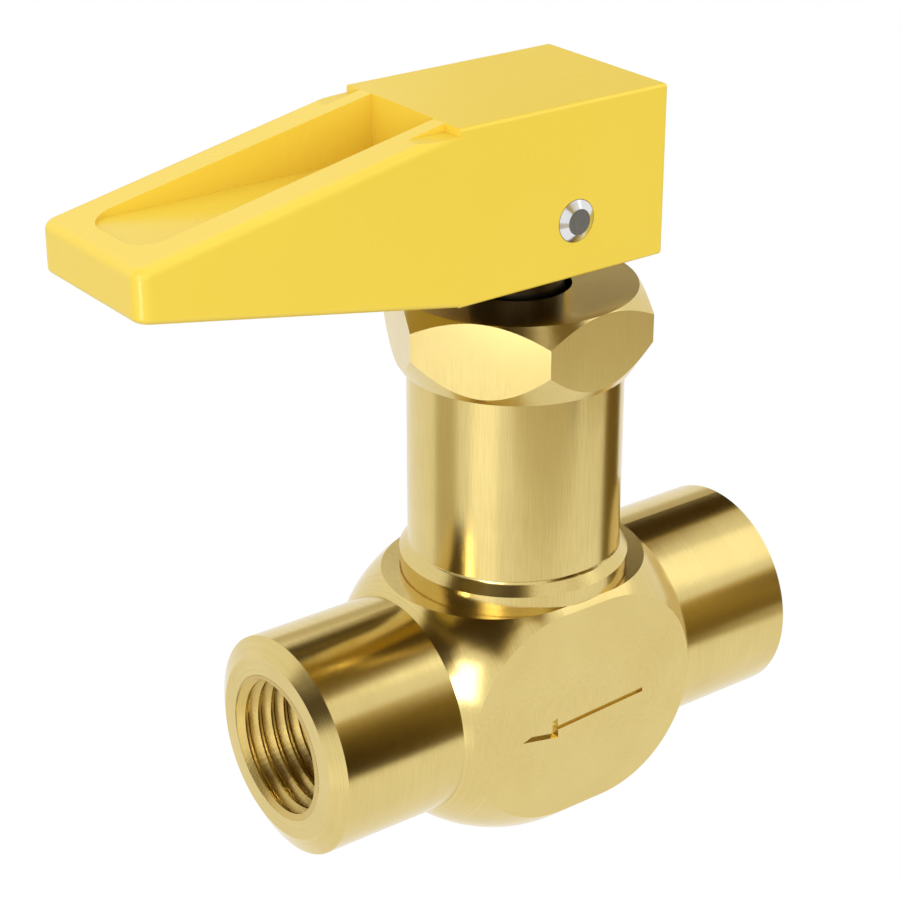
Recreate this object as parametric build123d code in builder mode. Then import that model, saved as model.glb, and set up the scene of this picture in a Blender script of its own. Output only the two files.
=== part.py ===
from build123d import *
import os
from math import cos, pi, sin, sqrt

# Thermal shut-off valve with a toggle lever, all sizes in millimetres.
# The origin is the centre of the inlet socket mouth, +X points out of that mouth,
# the valve lies along -X with its flow towards -X, and +Z points up the stem.

# Brass body
BODY_LENGTH = 51.5
STEM_X = -BODY_LENGTH / 2
PORT_R = 9.9
PORT_FACE_R = 8.25
PORT_CHAMFER = 0.9
SOCKET_R = 6.58
SOCKET_DEPTH = 12.0
BARREL_R = 14.5
BARREL_STRAIGHT = 5.0
BARREL_END_R = 14.0
FLAT = 10.5
CUT_AWAY = 40.0

# Chamber, seat and drilled passages inside the body
BONNET_THREAD_R = 8.0
BONNET_THREAD_DEPTH = 5.0
CHAMBER_R = 7.3
CHAMBER_FLOOR_Z = -2.0
SEAT_Z = -0.8
SEAT_R = 3.5
SEAT_LIP_R = 4.5
SEAT_WELL_Z = -9.0
PASSAGE_R = 2.8
INLET_DROP = 6.0
OUTLET_RISE = 3.0
PASSAGE_STOP = 8.0

# Flow arrow sunk into the near flat
ARROW_TIP_X = -6.94
ARROW_TIP_Z = -1.29
ARROW_RISE = 0.05
ARROW_LENGTH = 13.75
ARROW_HEAD = 3.95
ARROW_HEAD_HALF = 1.0
ARROW_SHAFT_HALF = 0.2
ARROW_DEPTH = 0.4

# Bonnet, a turned piece with a hexagon
GASKET_T = 0.5
GASKET_R = 10.15
GASKET_BORE_R = 8.05
THREAD_GAP = 0.05
COLLAR_R = 10.25
COLLAR_TOP_Z = 11.95
TUBE_R = 9.49
TUBE_FOOT_Z = 12.95
TUBE_FOOT_R = 0.5
TUBE_TOP_Z = 29.93
HEX_AF = 21.0
HEX_CORNER_R = HEX_AF / sqrt(3)
HEX_FOOT_R = 10.19
HEX_EDGE_LOW_Z = 33.07
HEX_EDGE_HIGH_Z = 35.54
HEX_TOP_Z = 37.13
HEX_TURN = 5.5
SPRING_BORE_R = 6.2
SPRING_BORE_TOP_Z = 22.0
NECK_GAP = 0.3
GLAND_R = 4.77
GLAND_FLOOR_Z = 24.5

# Stem seals and thrust bush in the gland
STEM_R = 3.25
RUNNING_FIT = 0.05
SEAL_SIDE_GAP = 0.02
SUPPORT_RING_T = 1.0
SEAL_SPACE = 1.6
SEAL_SPACER_T = 1.2
BUSH_FLANGE_T = 4.6
BUSH_SLEEVE_R = 4.1
BUSH_STAND = 3.13
FLANGE_EDGE = 0.3

# Lever, pin and lift
LIFT = 5.2
PIN_R = 1.8
PIN_Z = 44.76
PIN_PROUD = 0.4
PIN_FLAT_R = 1.1
LEVER_HALF_W = 7.8
LEVER_TIP_HALF_W = 7.4
LEVER_BACK = 9.5
LEVER_BEND = -11.85
LEVER_TIP = -40.65
LEVER_LOW_Z = 39.82
LEVER_TOP_Z = 54.7
TIP_LOW_Z = 45.05
TIP_TOP_Z = 49.1
ARM_EDGE_R = 0.8
ARM_LOW_EDGE_R = 0.5
TIP_CORNER_R = 1.2
BLOCK_EDGE_R = 0.3
EDGE_PICK = 0.1
POCKET_HALF_W = 4.3
POCKET_FLOOR_Z = 49.35
POCKET_BACK = -11.77
POCKET_FRONT = -38.5
POCKET_CORNER_R = 2.5
SHELF_FRONT = -17.0
SHELF_HALF_W = 5.77
SHELF_Z = 54.0
CAM_GAP = 0.3
CAM_HALF_W = 4.5
CAM_FRONT = -5.0
CAM_BACK_TOP = 5.0
SLOT_GAP = 0.25
SLOT_END_GAP = 0.3
CAM_POINTS = 9

# Stem tongue
TONGUE_HALF = 1.5
TONGUE_FOOT_Z = 34.8

# Closing disc
HOLDER_R = 5.6
HOLDER_LOW_Z = 0.0
HOLDER_TOP_Z = 4.5
SPIGOT_R = 2.2
SEAT_GAP = 0.02
SEAT_SEAL_R = 4.9
SEAT_SEAL_T = 2.0
WASHER_R = 2.8
WASHER_T = 0.8
SCREW_R = 1.5
SCREW_HEAD_R = 2.4
SCREW_HEAD_T = 1.8
SCREW_TOP_Z = 4.0
SCREW_SLOT_W = 0.7
SCREW_SLOT_T = 0.8
PART_GAP = 0.03

# Closing spring
WIRE_R = 0.55
SPRING_R = 4.6
SPRING_WASHER_T = 0.8
SPRING_WASHER_R = 6.0
SPRING_WASHER_BORE_R = 3.7
SPRING_ACTIVE_TURNS = 5.0
SPRING_END_TURNS = 1.0
SPRING_STEPS = 10
COIL_GAP = 0.1

# Levels that follow from the sizes above
COLLAR_LOW_Z = FLAT + GASKET_T
SPIGOT_END_Z = FLAT - BONNET_THREAD_DEPTH
SEAL_LOW_Z = GLAND_FLOOR_Z + SUPPORT_RING_T
SPACER_Z = SEAL_LOW_Z + SEAL_SPACE
SEAL_HIGH_Z = SPACER_Z + SEAL_SPACER_T
BUSH_LOW_Z = SEAL_HIGH_Z + SEAL_SPACE
BUSH_TOP_Z = HEX_TOP_Z + BUSH_STAND
SEAT_SEAL_LOW_Z = SEAT_Z + SEAT_GAP
SEAT_SEAL_TOP_Z = SEAT_SEAL_LOW_Z + SEAT_SEAL_T
WASHER_LOW_Z = SEAT_SEAL_LOW_Z - WASHER_T
SPRING_TOP_Z = SPRING_BORE_TOP_Z - SPRING_WASHER_T
CAM_LOW = PIN_Z - BUSH_TOP_Z - CAM_GAP
CAM_RATE = LIFT / (pi / 2)

os.makedirs("parts", exist_ok=True)


def stem_point(r, z):
    """Point of a half section turned about the stem axis."""
    return (STEM_X + r, z)


def cam_point(turn):
    """Cam outline about the pin: its reach grows evenly as the lever turns."""
    reach = CAM_LOW + CAM_RATE * turn
    across = reach * sin(turn) + CAM_RATE * cos(turn)
    down = reach * cos(turn) - CAM_RATE * sin(turn)
    return (STEM_X + across, PIN_Z - down)


# Valve body: turned barrel with two sockets, two side flats and a top flat
STEM_AXIS = Axis((STEM_X, 0, 0), (0, 0, 1))
BARREL_HALF = BARREL_STRAIGHT / 2
END_DROP = BARREL_END_R - (BARREL_R - PORT_R)
CREASE = BARREL_HALF + sqrt(BARREL_END_R ** 2 - END_DROP ** 2)
with BuildPart() as valve_body:
    with BuildSketch(Plane.XZ):
        with BuildLine():
            Polyline(
                (STEM_X + BARREL_HALF, BARREL_R),
                (STEM_X - BARREL_HALF, BARREL_R),
            )
            TangentArc((STEM_X - BARREL_HALF, BARREL_R), (STEM_X - CREASE, PORT_R), tangent=(-1, 0))
            Polyline(
                (STEM_X - CREASE, PORT_R),
                (PORT_CHAMFER - BODY_LENGTH, PORT_R),
                (-BODY_LENGTH, PORT_FACE_R),
                (-BODY_LENGTH, 0),
                (0, 0),
                (0, PORT_FACE_R),
                (-PORT_CHAMFER, PORT_R),
                (STEM_X + CREASE, PORT_R),
            )
            TangentArc((STEM_X + BARREL_HALF, BARREL_R), (STEM_X + CREASE, PORT_R), tangent=(1, 0))
        make_face()
    revolve(axis=Axis.X)
    # Flats on the two sides and on top
    for flat_plane in (Plane.XZ, Plane.ZX, Plane.XY):
        with BuildSketch(flat_plane.offset(FLAT)):
            Rectangle(2 * BODY_LENGTH, 2 * BODY_LENGTH)
        extrude(amount=CUT_AWAY, mode=Mode.SUBTRACT)
    # Sockets
    with BuildSketch(Plane.YZ):
        Circle(SOCKET_R)
    extrude(amount=-SOCKET_DEPTH, mode=Mode.SUBTRACT)
    with BuildSketch(Plane.YZ.offset(-BODY_LENGTH)):
        Circle(SOCKET_R)
    extrude(amount=SOCKET_DEPTH, mode=Mode.SUBTRACT)
    # Chamber with a raised seat lip over a well
    with BuildSketch(Plane.XZ):
        with BuildLine():
            Polyline(
                stem_point(0, FLAT),
                stem_point(BONNET_THREAD_R, FLAT),
                stem_point(BONNET_THREAD_R, SPIGOT_END_Z),
                stem_point(CHAMBER_R, SPIGOT_END_Z),
                stem_point(CHAMBER_R, CHAMBER_FLOOR_Z),
                stem_point(SEAT_LIP_R, CHAMBER_FLOOR_Z),
                stem_point(SEAT_LIP_R, SEAT_Z),
                stem_point(SEAT_R, SEAT_Z),
                stem_point(SEAT_R, SEAT_WELL_Z),
                stem_point(0, SEAT_WELL_Z),
                close=True,
            )
        make_face()
    revolve(axis=STEM_AXIS, mode=Mode.SUBTRACT)
    # Inlet passage up to the well and outlet passage out of the chamber
    inlet_start = (STEM_X, 0, -INLET_DROP)
    with BuildSketch(Plane(inlet_start, x_dir=(0, 1, 0), z_dir=(-STEM_X, 0, INLET_DROP))):
        Circle(PASSAGE_R)
    extrude(amount=sqrt(STEM_X ** 2 + INLET_DROP ** 2) - PASSAGE_STOP, mode=Mode.SUBTRACT)
    outlet_start = (STEM_X, 0, OUTLET_RISE)
    with BuildSketch(Plane(outlet_start, x_dir=(0, 1, 0), z_dir=(STEM_X, 0, -OUTLET_RISE))):
        Circle(PASSAGE_R)
    extrude(amount=sqrt(STEM_X ** 2 + OUTLET_RISE ** 2) - PASSAGE_STOP, mode=Mode.SUBTRACT)
    # Flow arrow
    arrow_tip = (STEM_X + ARROW_TIP_X, -FLAT, ARROW_TIP_Z)
    with BuildSketch(Plane(arrow_tip, x_dir=(1, 0, ARROW_RISE), z_dir=(0, -1, 0))):
        with BuildLine():
            Polyline(
                (0, 0),
                (ARROW_HEAD, -ARROW_HEAD_HALF),
                (ARROW_HEAD, -ARROW_SHAFT_HALF),
                (ARROW_LENGTH, -ARROW_SHAFT_HALF),
                (ARROW_LENGTH, ARROW_SHAFT_HALF),
                (ARROW_HEAD, ARROW_SHAFT_HALF),
                (ARROW_HEAD, ARROW_HEAD_HALF),
                close=True,
            )
        make_face()
    extrude(amount=-ARROW_DEPTH, mode=Mode.SUBTRACT)
valve_body.part.label = "valve_body"
export_step(valve_body.part, "parts/valve_body.step")

# Gasket ring under the bonnet collar
with BuildPart() as bonnet_gasket:
    with BuildSketch(Plane((STEM_X, 0, FLAT))):
        Circle(GASKET_R)
        Circle(GASKET_BORE_R, mode=Mode.SUBTRACT)
    extrude(amount=GASKET_T)
bonnet_gasket.part.label = "bonnet_gasket"
export_step(bonnet_gasket.part, "parts/bonnet_gasket.step")

# Bonnet: hexagon chamfered above and below, tube, collar and screwed spigot
with BuildPart() as bonnet:
    with BuildSketch(Plane.XZ):
        with BuildLine():
            Polyline(
                stem_point(0, TUBE_TOP_Z),
                stem_point(HEX_FOOT_R, TUBE_TOP_Z),
                stem_point(HEX_CORNER_R, HEX_EDGE_LOW_Z),
                stem_point(HEX_CORNER_R, HEX_EDGE_HIGH_Z),
                stem_point(HEX_AF / 2, HEX_TOP_Z),
                stem_point(0, HEX_TOP_Z),
                close=True,
            )
        make_face()
    revolve(axis=STEM_AXIS)
    with BuildSketch(Plane((STEM_X, 0, TUBE_TOP_Z))):
        RegularPolygon(HEX_CORNER_R, 6, rotation=HEX_TURN)
    extrude(amount=HEX_TOP_Z - TUBE_TOP_Z, mode=Mode.INTERSECT)
    with BuildSketch(Plane.XZ) as tube_profile:
        with BuildLine():
            Polyline(
                stem_point(0, SPIGOT_END_Z),
                stem_point(BONNET_THREAD_R - THREAD_GAP, SPIGOT_END_Z),
                stem_point(BONNET_THREAD_R - THREAD_GAP, COLLAR_LOW_Z),
                stem_point(COLLAR_R, COLLAR_LOW_Z),
                stem_point(COLLAR_R, COLLAR_TOP_Z),
                stem_point(TUBE_R, TUBE_FOOT_Z),
                stem_point(TUBE_R, TUBE_TOP_Z),
                stem_point(0, TUBE_TOP_Z),
                close=True,
            )
        make_face()
        tube_foot = tube_profile.vertices().sort_by_distance(stem_point(TUBE_R, TUBE_FOOT_Z))[0]
        fillet(tube_foot, radius=TUBE_FOOT_R)
    revolve(axis=STEM_AXIS)
    with BuildSketch(Plane.XZ):
        with BuildLine():
            Polyline(
                stem_point(0, SPIGOT_END_Z),
                stem_point(SPRING_BORE_R, SPIGOT_END_Z),
                stem_point(SPRING_BORE_R, SPRING_BORE_TOP_Z),
                stem_point(STEM_R + NECK_GAP, SPRING_BORE_TOP_Z),
                stem_point(STEM_R + NECK_GAP, GLAND_FLOOR_Z),
                stem_point(GLAND_R, GLAND_FLOOR_Z),
                stem_point(GLAND_R, HEX_TOP_Z),
                stem_point(0, HEX_TOP_Z),
                close=True,
            )
        make_face()
    revolve(axis=STEM_AXIS, mode=Mode.SUBTRACT)
bonnet.part.label = "bonnet"
export_step(bonnet.part, "parts/bonnet.step")

# Backing ring on the gland floor and spacer between the two stem seals
with BuildPart() as seal_support_ring:
    with BuildSketch(Plane((STEM_X, 0, GLAND_FLOOR_Z))):
        Circle(GLAND_R - PART_GAP)
        Circle(STEM_R + RUNNING_FIT, mode=Mode.SUBTRACT)
    extrude(amount=SUPPORT_RING_T)
seal_support_ring.part.label = "seal_support_ring"
export_step(seal_support_ring.part, "parts/seal_support_ring.step")

with BuildPart() as seal_spacer:
    with BuildSketch(Plane((STEM_X, 0, SPACER_Z))):
        Circle(GLAND_R - PART_GAP)
        Circle(STEM_R + RUNNING_FIT, mode=Mode.SUBTRACT)
    extrude(amount=SEAL_SPACER_T)
seal_spacer.part.label = "seal_spacer"
export_step(seal_spacer.part, "parts/seal_spacer.step")

# Two O-rings round the stem
SEAL_MID_R = (STEM_R + GLAND_R) / 2
SEAL_CORD_R = (GLAND_R - STEM_R) / 2 - SEAL_SIDE_GAP
with BuildPart() as stem_seal_lower:
    with BuildSketch(Plane.XZ):
        with Locations(stem_point(SEAL_MID_R, SEAL_LOW_Z + SEAL_SPACE / 2)):
            Circle(SEAL_CORD_R)
    revolve(axis=STEM_AXIS)
stem_seal_lower.part.label = "stem_seal_lower"
export_step(stem_seal_lower.part, "parts/stem_seal_lower.step")

with BuildPart() as stem_seal_upper:
    with BuildSketch(Plane.XZ):
        with Locations(stem_point(SEAL_MID_R, SEAL_HIGH_Z + SEAL_SPACE / 2)):
            Circle(SEAL_CORD_R)
    revolve(axis=STEM_AXIS)
stem_seal_upper.part.label = "stem_seal_upper"
export_step(stem_seal_upper.part, "parts/stem_seal_upper.step")

# Thrust bush: pressed-in flange with a sleeve that carries the lever cam
with BuildPart() as thrust_bush:
    with BuildSketch(Plane.XZ):
        with BuildLine():
            Polyline(
                stem_point(STEM_R + RUNNING_FIT, BUSH_LOW_Z),
                stem_point(GLAND_R, BUSH_LOW_Z),
                stem_point(GLAND_R, BUSH_LOW_Z + BUSH_FLANGE_T - FLANGE_EDGE),
                stem_point(GLAND_R - FLANGE_EDGE, BUSH_LOW_Z + BUSH_FLANGE_T),
                stem_point(BUSH_SLEEVE_R, BUSH_LOW_Z + BUSH_FLANGE_T),
                stem_point(BUSH_SLEEVE_R, BUSH_TOP_Z),
                stem_point(STEM_R + RUNNING_FIT, BUSH_TOP_Z),
                close=True,
            )
        make_face()
    revolve(axis=STEM_AXIS)
thrust_bush.part.label = "thrust_bush"
export_step(thrust_bush.part, "parts/thrust_bush.step")

# Stem: round rod with a flat tongue for the pin and a spigot for the disc holder
with BuildPart() as stem:
    with BuildSketch(Plane.XZ.offset(-TONGUE_HALF)):
        with BuildLine():
            Polyline(
                (STEM_X - STEM_R, PIN_Z),
                (STEM_X - STEM_R, TONGUE_FOOT_Z),
                (STEM_X + STEM_R, TONGUE_FOOT_Z),
                (STEM_X + STEM_R, PIN_Z),
            )
            ThreePointArc((STEM_X + STEM_R, PIN_Z), (STEM_X, PIN_Z + STEM_R), (STEM_X - STEM_R, PIN_Z))
        make_face()
    extrude(amount=2 * TONGUE_HALF)
    with BuildSketch(Plane((STEM_X, 0, TONGUE_FOOT_Z))):
        Circle(STEM_R)
    extrude(amount=PIN_Z + STEM_R - TONGUE_FOOT_Z, mode=Mode.INTERSECT)
    with BuildSketch(Plane((STEM_X, 0, HOLDER_TOP_Z))):
        Circle(STEM_R)
    extrude(amount=TONGUE_FOOT_Z - HOLDER_TOP_Z)
    with BuildSketch(Plane((STEM_X, 0, SEAT_SEAL_TOP_Z + PART_GAP))):
        Circle(SPIGOT_R)
    extrude(amount=HOLDER_TOP_Z - SEAT_SEAL_TOP_Z - PART_GAP)
    with BuildSketch(Plane((STEM_X, 0, SEAT_SEAL_TOP_Z + PART_GAP))):
        Circle(SCREW_R)
    extrude(amount=SCREW_TOP_Z + PART_GAP - SEAT_SEAL_TOP_Z, mode=Mode.SUBTRACT)
    with BuildSketch(Plane.XZ.offset(-CUT_AWAY / 2)):
        with Locations((STEM_X, PIN_Z)):
            Circle(PIN_R)
    extrude(amount=CUT_AWAY, mode=Mode.SUBTRACT)
stem.part.label = "stem"
export_step(stem.part, "parts/stem.step")

# Disc holder that carries the seat seal and takes the spring on its top
with BuildPart() as disc_holder:
    with BuildSketch(Plane.XZ):
        with BuildLine():
            Polyline(
                stem_point(SPIGOT_R + PART_GAP, HOLDER_TOP_Z),
                stem_point(HOLDER_R, HOLDER_TOP_Z),
                stem_point(HOLDER_R, HOLDER_LOW_Z),
                stem_point(SEAT_SEAL_R + PART_GAP, HOLDER_LOW_Z),
                stem_point(SEAT_SEAL_R + PART_GAP, SEAT_SEAL_TOP_Z),
                stem_point(SPIGOT_R + PART_GAP, SEAT_SEAL_TOP_Z),
                close=True,
            )
        make_face()
    revolve(axis=STEM_AXIS)
disc_holder.part.label = "disc_holder"
export_step(disc_holder.part, "parts/disc_holder.step")

# Rubber seat seal, washer and slotted screw below the holder
with BuildPart() as seat_seal:
    with BuildSketch(Plane((STEM_X, 0, SEAT_SEAL_LOW_Z))):
        Circle(SEAT_SEAL_R)
        Circle(SCREW_R + PART_GAP, mode=Mode.SUBTRACT)
    extrude(amount=SEAT_SEAL_T)
seat_seal.part.label = "seat_seal"
export_step(seat_seal.part, "parts/seat_seal.step")

with BuildPart() as seal_washer:
    with BuildSketch(Plane((STEM_X, 0, WASHER_LOW_Z))):
        Circle(WASHER_R)
        Circle(SCREW_R + PART_GAP, mode=Mode.SUBTRACT)
    extrude(amount=WASHER_T)
seal_washer.part.label = "seal_washer"
export_step(seal_washer.part, "parts/seal_washer.step")

with BuildPart() as seal_screw:
    with BuildSketch(Plane((STEM_X, 0, WASHER_LOW_Z - SCREW_HEAD_T))):
        Circle(SCREW_HEAD_R)
    extrude(amount=SCREW_HEAD_T)
    with BuildSketch(Plane((STEM_X, 0, WASHER_LOW_Z))):
        Circle(SCREW_R)
    extrude(amount=SCREW_TOP_Z - WASHER_LOW_Z)
    with BuildSketch(Plane((STEM_X, 0, WASHER_LOW_Z - SCREW_HEAD_T))):
        Rectangle(2 * SCREW_HEAD_R, SCREW_SLOT_W)
    extrude(amount=SCREW_SLOT_T, mode=Mode.SUBTRACT)
seal_screw.part.label = "seal_screw"
export_step(seal_screw.part, "parts/seal_screw.step")

# Washer that the closing spring pushes up against
with BuildPart() as spring_washer:
    with BuildSketch(Plane((STEM_X, 0, SPRING_TOP_Z))):
        Circle(SPRING_WASHER_R)
        Circle(SPRING_WASHER_BORE_R, mode=Mode.SUBTRACT)
    extrude(amount=SPRING_WASHER_T)
spring_washer.part.label = "spring_washer"
export_step(spring_washer.part, "parts/spring_washer.step")

# Closing spring: closed end turns, open turns between, both ends ground flat
SPRING_END_PITCH = 2 * WIRE_R + COIL_GAP
SPRING_TURNS = SPRING_ACTIVE_TURNS + 2 * SPRING_END_TURNS
SPRING_OPEN = SPRING_TOP_Z - HOLDER_TOP_Z - 2 * SPRING_END_TURNS * SPRING_END_PITCH


def spring_rise(turn):
    """Height of the wire above the holder after a number of turns."""
    if turn < SPRING_END_TURNS:
        return turn * SPRING_END_PITCH
    if turn > SPRING_TURNS - SPRING_END_TURNS:
        return SPRING_TOP_Z - HOLDER_TOP_Z - (SPRING_TURNS - turn) * SPRING_END_PITCH
    part = (turn - SPRING_END_TURNS) / SPRING_ACTIVE_TURNS
    return SPRING_END_TURNS * SPRING_END_PITCH + part * SPRING_OPEN


def spring_point(step):
    """Point on the middle line of the wire."""
    turn = step / SPRING_STEPS
    angle = 2 * pi * turn
    return (STEM_X + SPRING_R * cos(angle), SPRING_R * sin(angle), HOLDER_TOP_Z + spring_rise(turn))


SPRING_LAST = int(SPRING_TURNS * SPRING_STEPS)
with BuildPart() as closing_spring:
    with BuildLine() as wire_path:
        Spline(*[spring_point(step) for step in range(SPRING_LAST + 1)])
    with BuildSketch(Plane(wire_path.line @ 0, z_dir=wire_path.line % 0)):
        Circle(WIRE_R)
    sweep(path=wire_path.line)
    with BuildSketch(Plane((STEM_X, 0, HOLDER_TOP_Z))):
        Circle(SPRING_BORE_R)
    extrude(amount=SPRING_TOP_Z - HOLDER_TOP_Z, mode=Mode.INTERSECT)
closing_spring.part.label = "closing_spring"
export_step(closing_spring.part, "parts/closing_spring.step")

# Lever: tapered arm with a thumb pocket, running into a block over the stem
TIP_X = STEM_X + LEVER_TIP
with BuildPart() as lever:
    with BuildSketch(Plane.YZ.offset(STEM_X + LEVER_BEND)):
        with Locations((0, (LEVER_TOP_Z + LEVER_LOW_Z) / 2)):
            Rectangle(2 * LEVER_HALF_W, LEVER_TOP_Z - LEVER_LOW_Z)
    with BuildSketch(Plane.YZ.offset(TIP_X)):
        with Locations((0, (TIP_TOP_Z + TIP_LOW_Z) / 2)):
            Rectangle(2 * LEVER_TIP_HALF_W, TIP_TOP_Z - TIP_LOW_Z)
    loft()
    tip_edges = lever.edges().filter_by_position(Axis.X, TIP_X - EDGE_PICK, TIP_X + EDGE_PICK)
    fillet(tip_edges.filter_by(Axis.Z), radius=TIP_CORNER_R)
    fillet(lever.faces().sort_by(Axis.Z)[-1].edges().sort_by(Axis.X)[:-1], radius=ARM_EDGE_R)
    fillet(lever.faces().sort_by(Axis.Z)[0].edges().sort_by(Axis.X)[:-1], radius=ARM_LOW_EDGE_R)
    with BuildSketch(Plane((STEM_X, 0, LEVER_LOW_Z))):
        with Locations(((LEVER_BACK + LEVER_BEND) / 2, 0)):
            Rectangle(LEVER_BACK - LEVER_BEND, 2 * LEVER_HALF_W)
    extrude(amount=LEVER_TOP_Z - LEVER_LOW_Z)
    back_x = STEM_X + LEVER_BACK
    bend_x = STEM_X + LEVER_BEND
    block_edges = lever.edges().filter_by_position(Axis.X, bend_x + EDGE_PICK, back_x + EDGE_PICK)
    fillet(block_edges, radius=BLOCK_EDGE_R)
    # Thumb pocket
    with BuildSketch(Plane((STEM_X, 0, POCKET_FLOOR_Z))) as pocket:
        with Locations(((POCKET_BACK + POCKET_FRONT) / 2, 0)):
            Rectangle(POCKET_BACK - POCKET_FRONT, 2 * POCKET_HALF_W)
        fillet(pocket.vertices().sort_by(Axis.X)[:2], radius=POCKET_CORNER_R)
    extrude(amount=LEVER_TOP_Z - POCKET_FLOOR_Z, mode=Mode.SUBTRACT)
    # Small shelves where the arm meets the block
    with BuildSketch(Plane((STEM_X, 0, SHELF_Z))):
        with Locations(((LEVER_BEND + SHELF_FRONT) / 2, 0)):
            Rectangle(LEVER_BEND - SHELF_FRONT, 4 * LEVER_HALF_W)
            Rectangle(LEVER_BEND - SHELF_FRONT, 2 * SHELF_HALF_W, mode=Mode.SUBTRACT)
    extrude(amount=LEVER_TOP_Z - SHELF_Z, mode=Mode.SUBTRACT)
    # Cam track under the block, between the side walls
    with BuildSketch(Plane.XZ.offset(-CAM_HALF_W)):
        with BuildLine():
            cam_curve = Spline(*[cam_point(step / (CAM_POINTS - 1) * pi / 2) for step in range(CAM_POINTS)])
            Polyline(
                cam_curve @ 1,
                (STEM_X + CAM_LOW + LIFT, PIN_Z + CAM_BACK_TOP),
                (STEM_X + 2 * LEVER_BACK, PIN_Z + CAM_BACK_TOP),
                (STEM_X + 2 * LEVER_BACK, LEVER_LOW_Z - CAM_GAP),
                (STEM_X + CAM_FRONT, LEVER_LOW_Z - CAM_GAP),
                (STEM_X + CAM_FRONT, PIN_Z - CAM_LOW),
                cam_curve @ 0,
            )
        make_face()
    extrude(amount=2 * CAM_HALF_W, mode=Mode.SUBTRACT)
    # Slot for the stem tongue, open below and behind
    SLOT_R = STEM_R + SLOT_END_GAP
    with BuildSketch(Plane.XZ.offset(-TONGUE_HALF - SLOT_GAP)):
        with BuildLine():
            Polyline(
                (STEM_X, PIN_Z + SLOT_R),
                (STEM_X + 2 * LEVER_BACK, PIN_Z + SLOT_R),
                (STEM_X + 2 * LEVER_BACK, LEVER_LOW_Z - CAM_GAP),
                (STEM_X - SLOT_R, LEVER_LOW_Z - CAM_GAP),
                (STEM_X - SLOT_R, PIN_Z),
            )
            RadiusArc((STEM_X - SLOT_R, PIN_Z), (STEM_X, PIN_Z + SLOT_R), SLOT_R)
        make_face()
    extrude(amount=2 * (TONGUE_HALF + SLOT_GAP), mode=Mode.SUBTRACT)
    # Pin hole
    with BuildSketch(Plane.XZ.offset(-CUT_AWAY / 2)):
        with Locations((STEM_X, PIN_Z)):
            Circle(PIN_R + RUNNING_FIT)
    extrude(amount=CUT_AWAY, mode=Mode.SUBTRACT)
lever.part.label = "lever"
export_step(lever.part, "parts/lever.step")

# Cross pin with chamfered ends
PIN_END = LEVER_HALF_W + PIN_PROUD
with BuildPart() as lever_pin:
    with BuildSketch(Plane.YZ.offset(STEM_X)):
        with BuildLine():
            Polyline(
                (-PIN_END, PIN_Z),
                (-PIN_END, PIN_Z + PIN_FLAT_R),
                (-LEVER_HALF_W, PIN_Z + PIN_R),
                (LEVER_HALF_W, PIN_Z + PIN_R),
                (PIN_END, PIN_Z + PIN_FLAT_R),
                (PIN_END, PIN_Z),
                close=True,
            )
        make_face()
    revolve(axis=Axis((STEM_X, 0, PIN_Z), (0, 1, 0)))
lever_pin.part.label = "lever_pin"
export_step(lever_pin.part, "parts/lever_pin.step")
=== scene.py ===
import math

import bpy
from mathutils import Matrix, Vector


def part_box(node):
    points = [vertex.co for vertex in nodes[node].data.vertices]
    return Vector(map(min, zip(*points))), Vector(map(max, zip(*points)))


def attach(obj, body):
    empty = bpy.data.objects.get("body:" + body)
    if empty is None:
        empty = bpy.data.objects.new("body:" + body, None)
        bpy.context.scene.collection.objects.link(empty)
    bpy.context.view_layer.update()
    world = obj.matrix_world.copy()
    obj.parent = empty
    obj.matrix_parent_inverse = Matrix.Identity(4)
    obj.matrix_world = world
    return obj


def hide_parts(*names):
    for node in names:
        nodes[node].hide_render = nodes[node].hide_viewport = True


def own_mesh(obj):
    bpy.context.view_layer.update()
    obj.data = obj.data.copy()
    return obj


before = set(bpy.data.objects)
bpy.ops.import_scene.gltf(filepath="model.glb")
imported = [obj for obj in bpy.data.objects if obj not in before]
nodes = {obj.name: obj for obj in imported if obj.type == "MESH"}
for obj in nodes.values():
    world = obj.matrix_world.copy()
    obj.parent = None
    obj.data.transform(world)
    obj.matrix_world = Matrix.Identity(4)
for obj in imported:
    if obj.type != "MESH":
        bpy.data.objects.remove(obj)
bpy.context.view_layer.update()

MM = 0.001
TURN = 2 * math.pi
scene = bpy.context.scene
scene.view_settings.view_transform = "Standard"

# Sizes shared with the solids, in metres
BODY_LENGTH = 51.5 * MM
STEM_X = -25.75 * MM
SOCKET_R = 6.58 * MM
PIN_Z = 44.76 * MM
PIN_FLAT_R = 1.1 * MM
WIRE_R = 0.55 * MM
SPRING_R = 4.6 * MM
SPRING_END_PITCH = 1.2 * MM
SPRING_END_TURNS = 1
SPRING_ACTIVE_TURNS = 5

# Colours of the metals
BRASS_LIGHT = (0.76, 0.605, 0.25)
BRASS_DARK = (0.655, 0.505, 0.185)
THREAD_LIGHT = (0.69, 0.51, 0.175)
THREAD_DARK = (0.58, 0.42, 0.13)
# The thrust bush's near-black colours are painted shade: they stand in for the shade in the hole at the top
# of the bonnet
BUSH_SHADE_LIGHT = (0.07, 0.055, 0.04)
BUSH_SHADE_DARK = (0.04, 0.032, 0.024)
STEEL_LIGHT = (0.56, 0.56, 0.57)
STEEL_DARK = (0.46, 0.46, 0.47)
WIRE_LIGHT = (0.5, 0.5, 0.51)
WIRE_DARK = (0.38, 0.38, 0.39)
SAWN_LIGHT = (0.31, 0.31, 0.312)
SAWN_DARK = (0.25, 0.25, 0.252)
BRIGHT_LIGHT = (0.8, 0.8, 0.81)
BRIGHT_DARK = (0.72, 0.72, 0.73)

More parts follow.
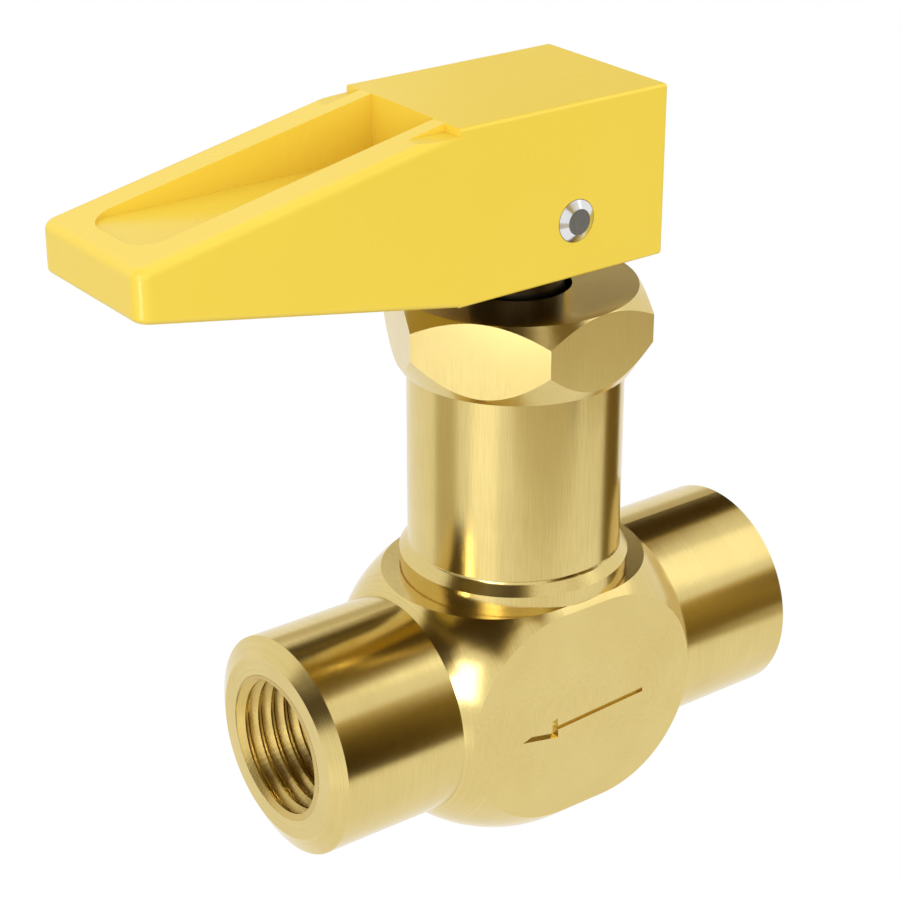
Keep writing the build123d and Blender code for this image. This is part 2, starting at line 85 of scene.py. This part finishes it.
# Colours of the moulded pieces
YELLOW_LIGHT = (0.875, 0.64, 0.066)
YELLOW_DARK = (0.865, 0.63, 0.062)
WHITE_LIGHT = (0.8, 0.8, 0.78)
WHITE_DARK = (0.74, 0.74, 0.71)
RUBBER_LIGHT = (0.035, 0.035, 0.037)
RUBBER_DARK = (0.022, 0.022, 0.024)

# Tones of the cards that the metal mirrors
CARD_DARK = (0.045, 0.024, 0.003)
CARD_BROWN = (0.17, 0.11, 0.02)
CARD_GREY = (0.62, 0.56, 0.42)
BORDER_WARM = (0.6, 0.44, 0.14)
BORDER_PALE = (0.72, 0.63, 0.4)


class Look:
    """One material's node tree, with short calls for the nodes it is made of."""

    def __init__(self, name):
        self.material = bpy.data.materials.new(name)
        self.material.use_nodes = True
        self.tree = self.material.node_tree
        self.shader = self.tree.nodes["Principled BSDF"]

    def node(self, kind, **settings):
        made = self.tree.nodes.new(kind)
        for key, value in settings.items():
            setattr(made, key, value)
        return made

    def join(self, source, target):
        self.tree.links.new(source, target)

    def put(self, target, value):
        if hasattr(value, "is_output"):
            self.join(value, target)
        else:
            target.default_value = value

    def math(self, operation, a, b=0.0):
        made = self.node("ShaderNodeMath", operation=operation)
        self.put(made.inputs[0], a)
        self.put(made.inputs[1], b)
        return made.outputs[0]

    def radius(self, a, b):
        return self.math("SQRT", self.math("ADD", self.math("MULTIPLY", a, a), self.math("MULTIPLY", b, b)))

    def place(self):
        return self.node("ShaderNodeTexCoord").outputs["Object"]

    def parts(self, vector):
        made = self.node("ShaderNodeSeparateXYZ")
        self.join(vector, made.inputs[0])
        return made.outputs

    def vector(self, x, y, z):
        made = self.node("ShaderNodeCombineXYZ")
        self.put(made.inputs[0], x)
        self.put(made.inputs[1], y)
        self.put(made.inputs[2], z)
        return made.outputs[0]

    def noise(self, vector, size, detail, rough):
        made = self.node("ShaderNodeTexNoise")
        self.join(vector, made.inputs["Vector"])
        made.inputs["Scale"].default_value = 1 / size
        made.inputs["Detail"].default_value = detail
        made.inputs["Roughness"].default_value = rough
        return made.outputs["Fac"]

    def spread(self, value, low, high, out_low=0.0, out_high=1.0):
        made = self.node("ShaderNodeMapRange")
        self.join(value, made.inputs["Value"])
        made.inputs["From Min"].default_value = low
        made.inputs["From Max"].default_value = high
        made.inputs["To Min"].default_value = out_low
        made.inputs["To Max"].default_value = out_high
        return made.outputs["Result"]

    def colours(self, value, low, high):
        made = self.node("ShaderNodeMix", data_type="RGBA")
        self.join(value, made.inputs["Factor"])
        for socket, colour in (("A", low), ("B", high)):
            self.put(made.inputs[socket], (*colour, 1) if isinstance(colour, tuple) else colour)
        return made.outputs["Result"]

    def bump(self, height, distance):
        made = self.node("ShaderNodeBump")
        made.inputs["Strength"].default_value = 1.0
        made.inputs["Distance"].default_value = distance
        self.join(height, made.inputs["Height"])
        self.join(made.outputs["Normal"], self.shader.inputs["Normal"])

    def set(self, **sockets):
        for key, value in sockets.items():
            self.put(self.shader.inputs[key.replace("_", " ")], value)


# Range that nearly all values of a noise lie in
NOISE_LOW = 0.3
NOISE_HIGH = 0.7


# Machined metal: fine lines over soft patches, round the axis of turning or along it where the bar was drawn
def turned_metal(name, axis, light, dark, rough_low, rough_high, line=0.1 * MM, drawn=False):
    line_depth = 0.004 * MM
    line_share = 0.6
    patch = 6 * MM
    stretch_along = 0.03
    stretch_round = 0.4
    look = Look(name)
    x, y, z = look.parts(look.place())
    if axis == "X":
        along, a, b = x, y, z
    else:
        along, a, b = z, look.math("SUBTRACT", x, STEM_X), y
    if drawn:
        way = look.vector(a, b, look.math("MULTIPLY", along, stretch_along))
    else:
        angle = look.math("ARCTAN2", b, a)
        way = look.vector(along, look.radius(a, b), look.math("MULTIPLY", angle, line * stretch_round))
    lines = look.noise(way, line, detail=3.0, rough=0.6)
    broad = look.noise(look.place(), patch, detail=3.0, rough=0.55)
    line_part = look.math("MULTIPLY", lines, line_share)
    tone = look.math("ADD", line_part, look.math("MULTIPLY", broad, 1 - line_share))
    look.set(Metallic=1.0, Base_Color=look.colours(look.spread(tone, NOISE_LOW, NOISE_HIGH), dark, light))
    look.set(Roughness=look.spread(tone, NOISE_LOW, NOISE_HIGH, rough_high, rough_low))
    look.bump(lines, line_depth)
    return look.material


# Moulded surface: slow colour drift, gloss that varies with the grain, and a fine skin where it has a depth
def moulded(name, light, dark, rough_low, rough_high, grain=0.35 * MM, depth=0.0006 * MM):
    patch = 14 * MM
    drift_low = 0.35
    drift_high = 0.65
    look = Look(name)
    place = look.place()
    drift = look.noise(place, patch, detail=3.0, rough=0.5)
    skin = look.noise(place, grain, detail=2.0, rough=0.5)
    look.set(Base_Color=look.colours(look.spread(drift, drift_low, drift_high), dark, light))
    look.set(Roughness=look.spread(skin, NOISE_LOW, NOISE_HIGH, rough_low, rough_high))
    if depth > 0:
        look.bump(skin, depth)
    return look.material


# Pin ends: bright turned chamfer round a dull sawn-off face
def pin_metal(name, sawn_rough=0.5, bright_rough=0.14):
    saw_line = 0.08 * MM
    saw_stretch = 0.1
    saw_depth = 0.0008 * MM
    rim_width = 0.02 * MM
    look = Look(name)
    x, y, z = look.parts(look.place())
    a = look.math("SUBTRACT", x, STEM_X)
    b = look.math("SUBTRACT", z, PIN_Z)
    way = look.vector(a, look.math("MULTIPLY", b, saw_stretch), y)
    grain = look.noise(way, saw_line, detail=3.0, rough=0.6)
    rim = look.spread(look.radius(a, b), PIN_FLAT_R, PIN_FLAT_R + rim_width)
    sawn = look.colours(look.spread(grain, NOISE_LOW, NOISE_HIGH), SAWN_DARK, SAWN_LIGHT)
    bright = look.colours(look.spread(grain, NOISE_LOW, NOISE_HIGH), BRIGHT_DARK, BRIGHT_LIGHT)
    look.set(Metallic=1.0, Base_Color=look.colours(rim, sawn, bright))
    look.set(Roughness=look.spread(rim, 0, 1, sawn_rough, bright_rough))
    look.bump(grain, saw_depth)
    return look.material


looks = {
    "body_brass": turned_metal("body_brass", "X", BRASS_LIGHT, BRASS_DARK, 0.14, 0.2),
    "bonnet_brass": turned_metal("bonnet_brass", "Z", BRASS_LIGHT, BRASS_DARK, 0.16, 0.22, drawn=True),
    "thread_brass": turned_metal("thread_brass", "X", THREAD_LIGHT, THREAD_DARK, 0.24, 0.34, line=0.08 * MM),
    # Near-black steel of the thrust bush is painted shade for the hole at the top of the bonnet
    "dark_steel": turned_metal("dark_steel", "Z", BUSH_SHADE_LIGHT, BUSH_SHADE_DARK, 0.32, 0.44),
    "steel": turned_metal("steel", "Z", STEEL_LIGHT, STEEL_DARK, 0.25, 0.35),
    "spring_steel": turned_metal("spring_steel", "Z", WIRE_LIGHT, WIRE_DARK, 0.26, 0.36),
    "pin_steel": pin_metal("pin_steel"),
    "ptfe": moulded("ptfe", WHITE_LIGHT, WHITE_DARK, 0.4, 0.5),
    "seal_rubber": moulded("seal_rubber", RUBBER_LIGHT, RUBBER_DARK, 0.5, 0.65),
    "yellow_plastic": moulded(
        "yellow_plastic", YELLOW_LIGHT, YELLOW_DARK, 0.27, 0.3, grain=6 * MM, depth=0.0
    ),
}


def add_mesh(name, verts, faces, material):
    mesh = bpy.data.meshes.new(name)
    mesh.from_pydata(verts, [], faces)
    mesh.validate()
    mesh.materials.append(material)
    made = bpy.data.objects.new(name, mesh)
    scene.collection.objects.link(made)
    return made


# Closing spring: closed end turns and active turns between, ground flat
def coil_spring(name):
    seat_gap = 0.02 * MM
    steps = 48
    sides = 12
    low, high = (corner[2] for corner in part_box("closing_spring"))
    low += seat_gap
    active_pitch = (high - low - 2 * SPRING_END_TURNS * SPRING_END_PITCH) / SPRING_ACTIVE_TURNS
    total = (SPRING_ACTIVE_TURNS + 2 * SPRING_END_TURNS) * steps
    verts, faces = [], []
    for i in range(total + 1):
        turn = i / steps
        active = min(max(turn - SPRING_END_TURNS, 0), SPRING_ACTIVE_TURNS)
        rise = active * active_pitch + (turn - active) * SPRING_END_PITCH
        angle = TURN * turn
        for k in range(sides):
            round_wire = TURN * k / sides
            r = SPRING_R + WIRE_R * math.cos(round_wire)
            z = min(max(low + rise + WIRE_R * math.sin(round_wire), low), high)
            verts.append((STEM_X + r * math.cos(angle), r * math.sin(angle), z))
    for i in range(total):
        for k in range(sides):
            a = i * sides + k
            b = i * sides + (k + 1) % sides
            faces.append((b, a, a + sides, b + sides))
    faces.append(tuple(range(sides)))
    faces.append(tuple(total * sides + k for k in reversed(range(sides))))
    made = add_mesh(name, verts, faces, looks["spring_steel"])
    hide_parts("closing_spring")
    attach(made, "valve")
    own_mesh(made)


# Pipe thread: one helical ridge standing in from the wall of each socket, cut off square at the mouth
def thread(name, mouth_x, inward):
    pitch = 1.337 * MM
    crest_r = 5.98 * MM
    sunk = 0.03 * MM
    root_r = SOCKET_R + sunk
    half_root = 0.65 * MM
    half_crest = 0.09 * MM
    least_height = 0.02
    turns = 8
    steps = 72
    sides = 4
    total = turns * steps
    run_out = steps // 3
    verts, faces = [], []
    for i in range(total + 1):
        angle = TURN * i / steps
        height = max(least_height, min(1.0, (total - i) / run_out))
        crest = root_r + (crest_r - root_r) * height
        middle = pitch * (i + 1) / steps - half_root
        if middle + half_crest < 0:
            crest += (root_r - crest) * -(middle + half_crest) / (half_root - half_crest)
        profile = ((-half_root, root_r), (-half_crest, crest), (half_crest, crest), (half_root, root_r))
        for offset, r in profile:
            along = max(0.0, middle + offset)
            verts.append((mouth_x + inward * along, r * math.cos(angle), inward * r * math.sin(angle)))
    for i in range(total):
        for k in range(sides):
            a = i * sides + k
            b = i * sides + (k + 1) % sides
            faces.append((a, b, b + sides, a + sides))
    faces.append(tuple(reversed(range(sides))))
    faces.append(tuple(total * sides + k for k in range(sides)))
    made = add_mesh(name, verts, faces, looks["thread_brass"])
    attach(made, "valve")


coil_spring("spring_coil")
thread("inlet_thread", 0.0, -1)
thread("outlet_thread", -BODY_LENGTH, 1)

# Finishes on the solids
finish_of = {
    "valve_body": "body_brass",
    "bonnet": "bonnet_brass",
    "bonnet_gasket": "bonnet_brass",
    "seal_support_ring": "ptfe",
    "seal_spacer": "ptfe",
    "stem_seal_lower": "seal_rubber",
    "stem_seal_upper": "seal_rubber",
    # The thrust bush gets the near-black painted shade
    "thrust_bush": "dark_steel",
    "stem": "steel",
    "disc_holder": "steel",
    "seat_seal": "seal_rubber",
    "seal_washer": "steel",
    "seal_screw": "steel",
    "spring_washer": "steel",
    "closing_spring": "spring_steel",
    "lever": "yellow_plastic",
    "lever_pin": "pin_steel",
}
for name, finish in finish_of.items():
    piece = nodes[name]
    piece.data.materials.clear()
    piece.data.materials.append(looks[finish])

# Camera at the photograph's viewing angle
camera_data = bpy.data.cameras.new("camera")
camera_data.lens = 94.34
camera_data.sensor_width = 36.0
camera_data.clip_start = 0.005
camera = bpy.data.objects.new("camera", camera_data)
scene.collection.objects.link(camera)
camera.location = (-0.14300, -0.14808, 0.10901)
camera.rotation_euler = (math.radians(65.06), 0.0, math.radians(-36.65))
scene.camera = camera


# White backdrop for what is seen directly and in reflections, softer light for the rest
def white_when_seen(tree, soft, white):
    path = tree.nodes.new("ShaderNodeLightPath")
    seen = path.outputs["Is Camera Ray"]
    for ray in ("Is Glossy Ray", "Is Transmission Ray"):
        either = tree.nodes.new("ShaderNodeMath")
        either.operation = "MAXIMUM"
        tree.links.new(seen, either.inputs[0])
        tree.links.new(path.outputs[ray], either.inputs[1])
        seen = either.outputs[0]
    mix = tree.nodes.new("ShaderNodeMixShader")
    tree.links.new(seen, mix.inputs[0])
    tree.links.new(soft.outputs[0], mix.inputs[1])
    tree.links.new(white.outputs[0], mix.inputs[2])
    return mix


# Sky
SKY_SOFT = 1.03
SKY_WHITE = 1.0
world = bpy.data.worlds.new("studio")
scene.world = world
world.use_nodes = True
world_tree = world.node_tree
soft_sky = world_tree.nodes["Background"]
white_sky = world_tree.nodes.new("ShaderNodeBackground")
for background, strength in ((soft_sky, SKY_SOFT), (white_sky, SKY_WHITE)):
    background.inputs["Color"].default_value = (1, 1, 1, 1)
    background.inputs["Strength"].default_value = strength
sky = white_when_seen(world_tree, soft_sky, white_sky)
world_tree.links.new(sky.outputs[0], world_tree.nodes["World Output"].inputs["Surface"])

# Pale floor well below the valve: it looks white, keeps a faint shadow and throws back a duller light
FLOOR_Z = -150 * MM
FLOOR_REACH = 1.5
FLOOR_SHADOW = 0.12
FLOOR_GREY = 0.36
floor_look = Look("floor_white")
floor_look.set(Base_Color=(0.95, 0.95, 0.95, 1), Roughness=0.9, Specular_IOR_Level=0.0)
floor_white = floor_look.node("ShaderNodeEmission")
floor_white.inputs["Strength"].default_value = 1.0
floor_shade = floor_look.node("ShaderNodeMixShader")
floor_shade.inputs[0].default_value = FLOOR_SHADOW
floor_look.join(floor_white.outputs[0], floor_shade.inputs[1])
floor_look.join(floor_look.shader.outputs[0], floor_shade.inputs[2])
floor_dull = floor_look.node("ShaderNodeBsdfDiffuse")
floor_dull.inputs["Color"].default_value = (FLOOR_GREY, FLOOR_GREY, FLOOR_GREY, 1)
floor_mix = white_when_seen(floor_look.tree, floor_dull, floor_shade)
floor_look.join(floor_mix.outputs[0], floor_look.tree.nodes["Material Output"].inputs["Surface"])

# Flat sheet with four corners, for the floor and the cards
SHEET_FACE = (0, 1, 2, 3)


def sheet_corners(half_x, half_y, z):
    return [(-half_x, -half_y, z), (half_x, -half_y, z), (half_x, half_y, z), (-half_x, half_y, z)]


floor_corners = sheet_corners(FLOOR_REACH, FLOOR_REACH, FLOOR_Z)
floor = add_mesh("floor", floor_corners, [SHEET_FACE], floor_look.material)

# Points that the lamps and cards face: the middle of the valve and the corner of the lever's tip
FOCUS = Vector((STEM_X, 0, 18 * MM))
LEVER_TIP = Vector((-66 * MM, -7 * MM, 47 * MM))


# A card or softbox is placed by the direction it is seen in from its focus, in degrees, and its angular size
def stand(azimuth, elevation, distance, focus=FOCUS):
    a, e = math.radians(azimuth), math.radians(elevation)
    away = Vector((math.cos(e) * math.cos(a), math.cos(e) * math.sin(a), math.sin(e)))
    return focus + away * distance, (-away).to_track_quat("-Z", "Y").to_euler()


def span(angle, distance):
    return 2 * distance * math.tan(math.radians(angle) / 2)


def softbox(name, azimuth, elevation, wide, high, radiance, distance, focus=FOCUS):
    data = bpy.data.lights.new(name, "AREA")
    data.shape = "RECTANGLE"
    data.size = span(wide, distance)
    data.size_y = span(high, distance)
    data.energy = radiance * math.pi * data.size * data.size_y
    lamp = bpy.data.objects.new(name, data)
    scene.collection.objects.link(lamp)
    lamp.location, lamp.rotation_euler = stand(azimuth, elevation, distance, focus)
    lamp.visible_camera = False
    return lamp


# Cards beside the set, seen only in reflections, paler at the border or up the card
def card(name, azimuth, elevation, wide, high, tone, border=BORDER_WARM, soft=0.2, fade=0, distance=0.3):
    look = Look(name)
    w, h = span(wide, distance) / 2, span(high, distance) / 2
    x, y, _ = look.parts(look.place())
    across = look.spread(look.math("ABSOLUTE", x), w * (1 - soft), w)
    if fade > 0:
        up = look.math("POWER", look.spread(y, -h, h), fade)
    else:
        up = look.spread(look.math("ABSOLUTE", y), h * (1 - soft), h)
    shade = look.colours(look.math("MAXIMUM", across, up), tone, border)
    plain = look.node("ShaderNodeEmission")
    look.join(shade, plain.inputs["Color"])
    look.join(plain.outputs[0], look.tree.nodes["Material Output"].inputs["Surface"])
    made = add_mesh(name, sheet_corners(w, h, 0), [SHEET_FACE], look.material)
    made.location, made.rotation_euler = stand(azimuth, elevation, distance)
    made.visible_camera = False
    made.visible_diffuse = False
    made.visible_transmission = False
    made.visible_shadow = False


def grey_card(name, azimuth, elevation, wide, high):
    card(name, azimuth, elevation, wide, high, CARD_GREY, border=BORDER_PALE, soft=0.12)


# Lamps: azimuth, elevation, width, height, radiance, distance
softbox("key_light", -147, 15, 15, 26, 3.8, 0.5)
softbox("right_light", -28, 39, 26, 26, 0.5, 0.45)
softbox("left_low_light", -160, -24, 26, 14, 0.36, 0.28)
front_fill = softbox("front_fill", -120, 4, 60, 34, 1.1, 0.5)
front_fill.visible_glossy = False
tip_light = softbox("tip_light", -143, -24, 9, 24, 10, 0.06, LEVER_TIP)
tip_light.visible_diffuse = False

# Cards, flags for the dark ones: azimuth, elevation, width, height
card("flag_front_right", -74, 6, 34, 54, CARD_DARK, fade=4)
card("flag_front_far", -50, 0, 22, 38, CARD_BROWN, fade=2)
card("flag_front_spot", -43.5, 8.5, 8, 14, CARD_DARK)
card("flag_right_low", -2, -20, 34, 26, CARD_BROWN)
card("flag_back_high", 39, 40, 30, 40, CARD_DARK)
card("flag_back_top", 56, 42, 10, 14, CARD_DARK)
grey_card("grey_back", 53, 19, 50, 13)
card("flag_right_high", -25, 65, 60, 22, CARD_BROWN)
card("flag_top_left", -160, 59, 70, 42, CARD_DARK)
card("flag_left_high", -180, 28, 36, 26, CARD_DARK)
card("flag_left", 168, 2, 34, 14, CARD_DARK)
grey_card("grey_front", -95, -18, 70, 17)
grey_card("grey_right", -36, -17, 26, 10)
grey_card("grey_left", 155, -24, 26, 16)
